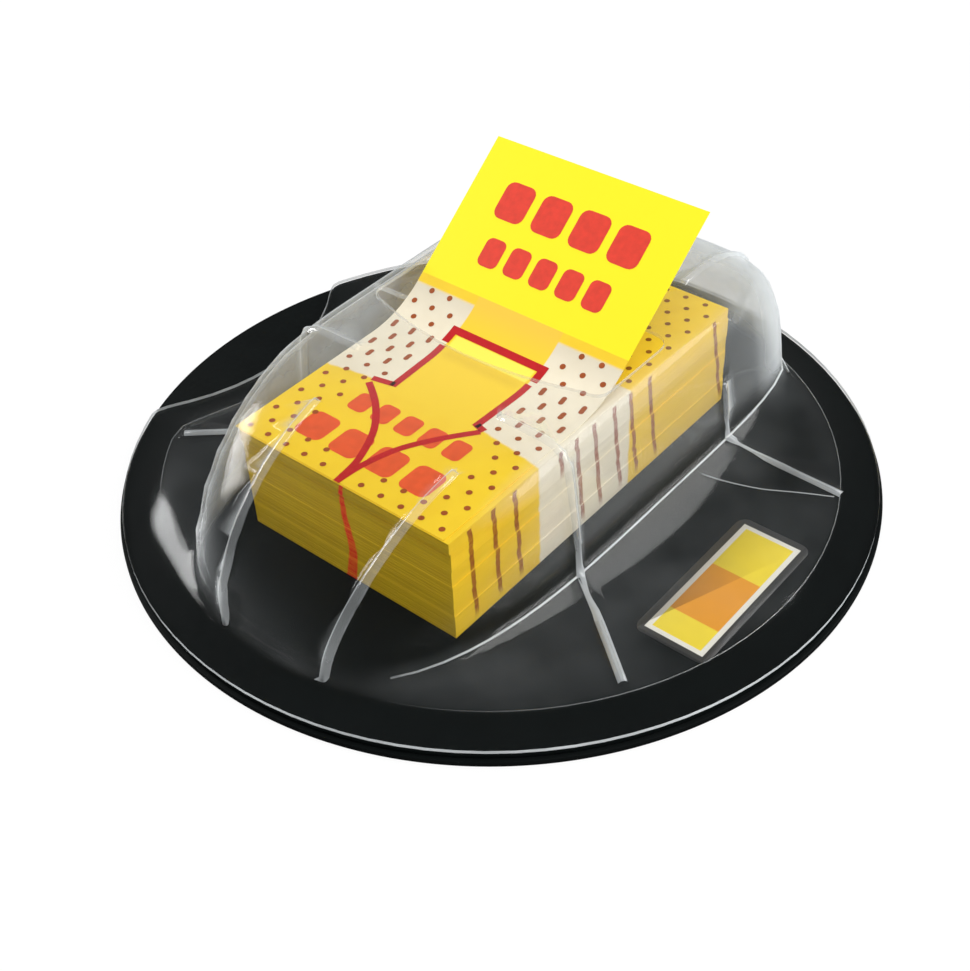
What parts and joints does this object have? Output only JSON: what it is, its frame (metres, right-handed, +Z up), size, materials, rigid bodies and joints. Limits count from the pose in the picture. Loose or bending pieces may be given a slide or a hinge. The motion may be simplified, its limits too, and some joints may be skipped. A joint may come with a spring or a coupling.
{
  "type": "index tab dispenser with its pad of sticky index tabs",
  "caption": "Pop-up pad of sticky film index tabs under a clear formed dome on a round grip base, one tab raised through the slot.",
  "frame": {"origin": "middle of the round base's underside", "axes": "+Z up from the desk; +X across the tabs; -Y towards the arrow ends of the tabs, the raised tab leans towards +Y"},
  "size_m": [0.0762, 0.0762, 0.0255],
  "materials": {
    "grip_pad": "matt black non-slip sheet",
    "base_plate": "black, satin",
    "base_label": "printed coated paper",
    "flag_pad": "stack of printed film, edges satin",
    "raised_flag": "printed film, satin",
    "clear_dome": "clear thermoformed plastic sheet, glossy"
  },
  "bodies": {
    "root": {"grip_pad": "grip_pad", "base_plate": "base_plate", "base_label": "base_label", "flag_pad": "flag_pad", "raised_flag": "raised_flag", "clear_dome": "clear_dome"}
  },
  "joints": []
}
